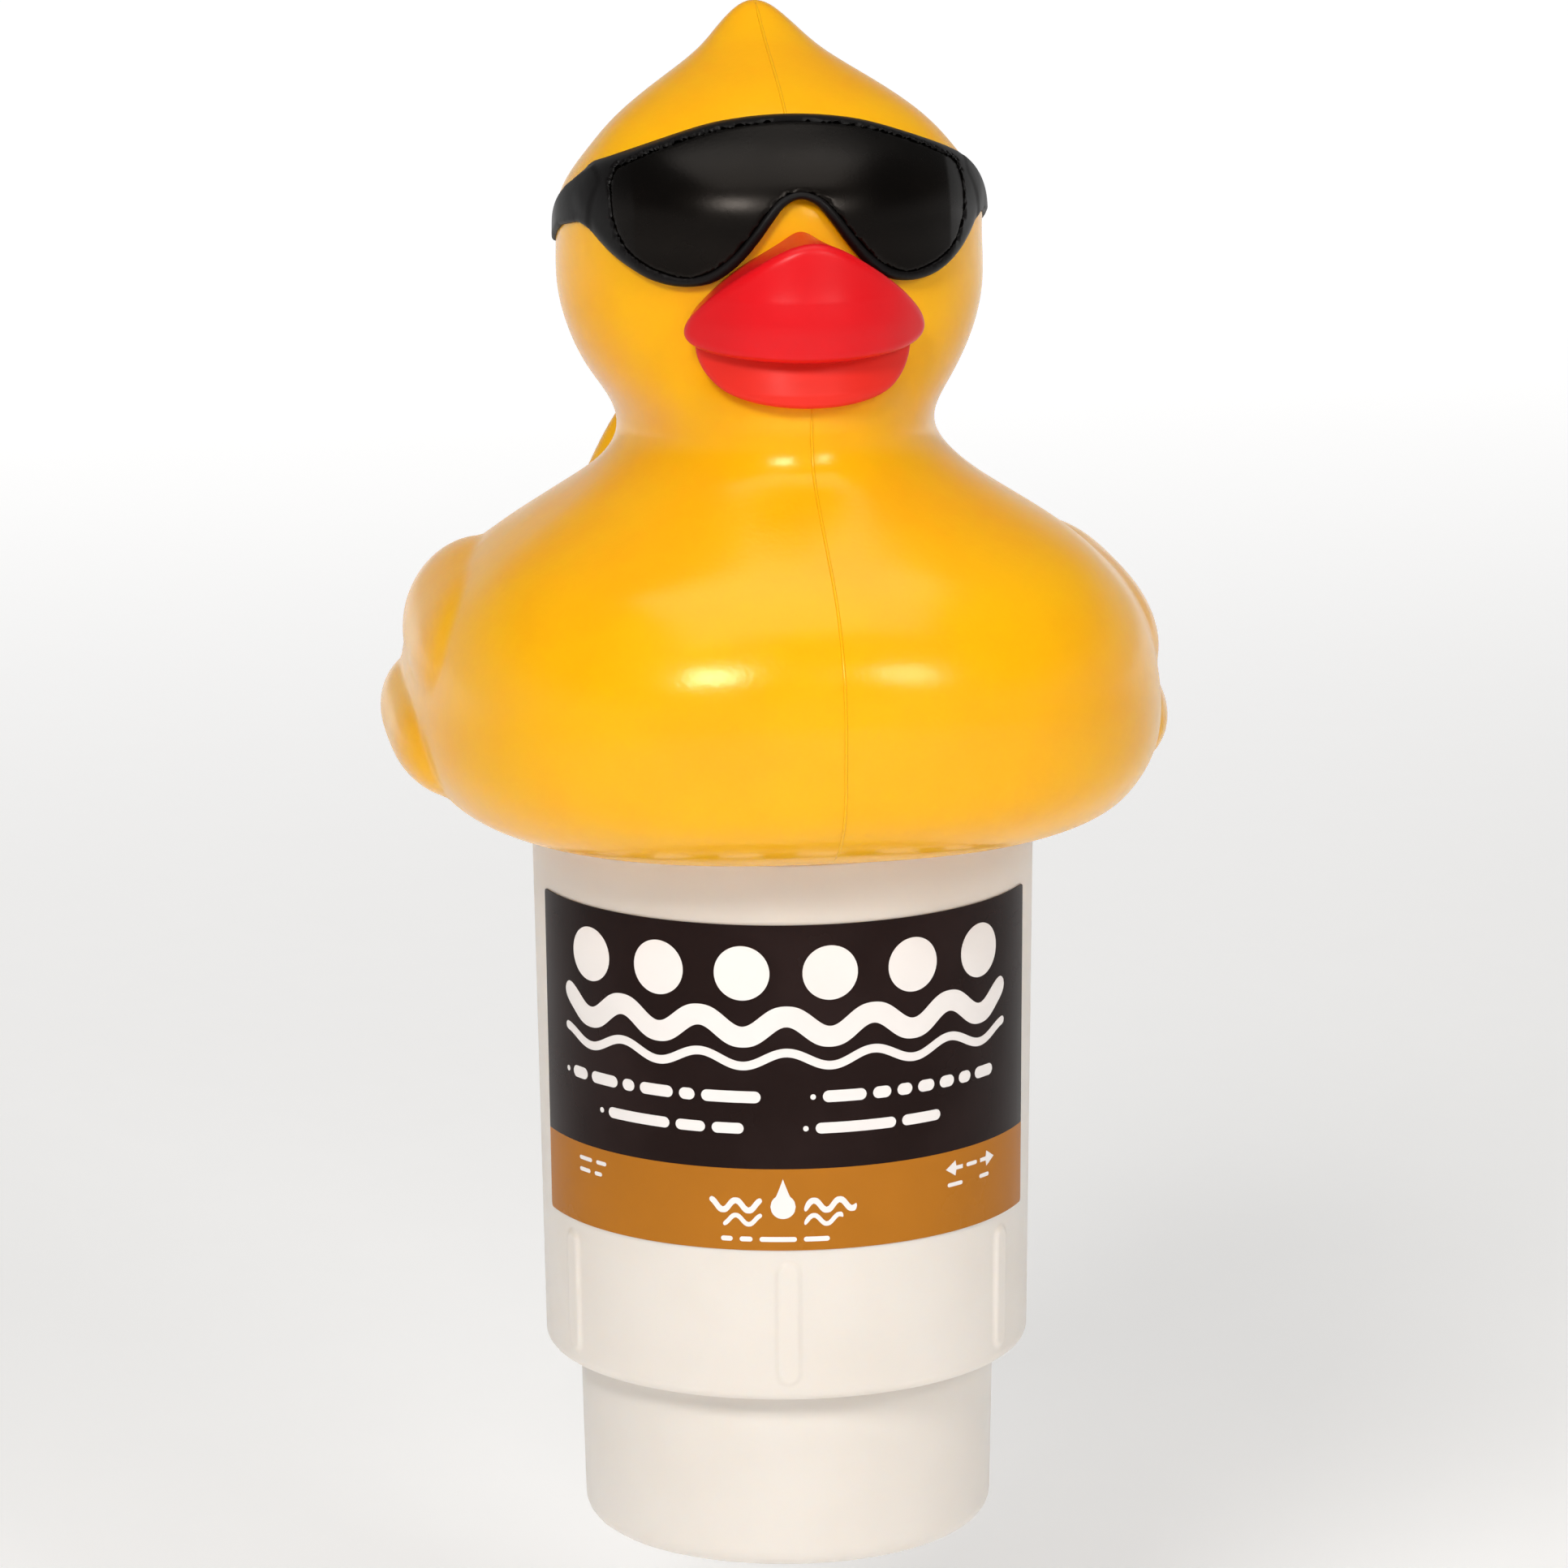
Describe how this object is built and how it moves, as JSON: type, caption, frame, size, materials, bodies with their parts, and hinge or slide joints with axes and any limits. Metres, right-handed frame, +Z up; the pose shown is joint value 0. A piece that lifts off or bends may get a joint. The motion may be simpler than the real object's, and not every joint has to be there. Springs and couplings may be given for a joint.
{
  "type": "floating chlorine dispenser",
  "caption": "Floating pool chlorine dispenser: a hollow duck float over a slotted canister with a turning flow sleeve and a telescoping tablet basket.",
  "frame": {"origin": "on the canister's axis, in the plane of the basket's rest face", "axes": "+Z up along the canister's axis, the duck looks along -Y, +X to the duck's left"},
  "size_m": [0.1792, 0.2026, 0.3356],
  "materials": {
    "duck_yellow": "satin blow-moulded plastic with a fine orange-peel skin",
    "beak_red": "gloss red paint",
    "glasses_black": "satin black paint",
    "lens_black": "gloss black",
    "white_plastic": "satin natural polypropylene, slightly translucent",
    "canister_plastic": "satin natural polypropylene",
    "label_print": "printed gloss film, black over bronze",
    "black_rubber": "matt elastomer",
    "stainless_steel": "bright stainless"
  },
  "bodies": {
    "float": {"duck_shell": "duck_yellow", "float_base": "duck_yellow", "beak": "beak_red", "sunglasses_frame": "glasses_black", "sunglasses_lens": "lens_black", "socket_cup": "white_plastic", "socket_oring": "black_rubber", "socket_screws": "stainless_steel", "vent_plug": "duck_yellow"},
    "seal": {"neck_gasket": "black_rubber"},
    "canister": {"canister": "canister_plastic", "retaining_ring": "stainless_steel", "basket_grip_ring": "black_rubber"},
    "flow_sleeve": {"flow_sleeve": "white_plastic", "label_film": "label_print"},
    "basket": {"basket": "white_plastic"},
    "tether_ring": {"tether_ring": "stainless_steel"}
  },
  "joints": [
    {"name": "seal_drop", "type": "slide", "parent": "float", "child": "seal", "axis": [0, 0, -1], "range_m": [0, 0.0141]},
    {"name": "canister_unscrew", "type": "hinge", "parent": "seal", "child": "canister", "pos_m": [0, 0, 0.17], "axis": [0, 0, -1], "range_deg": [0, 420]},
    {"name": "flow_turn", "type": "hinge", "parent": "canister", "child": "flow_sleeve", "pos_m": [0, 0, 0.1], "axis": [0, 0, -1], "range_deg": [0, 25]},
    {"name": "basket_extend", "type": "slide", "parent": "canister", "child": "basket", "axis": [0, 0, -1], "range_m": [0, 0.06]},
    {"name": "tether_ring_swing", "type": "hinge", "parent": "basket", "child": "tether_ring", "pos_m": [0, 0, 0.0065], "axis": [-1, 0, 0], "range_deg": [0, 180]}
  ],
  "couplings": [
    {"joint": "seal_drop", "follows": "canister_unscrew", "m_per_rad": 0.0019099}
  ]
}
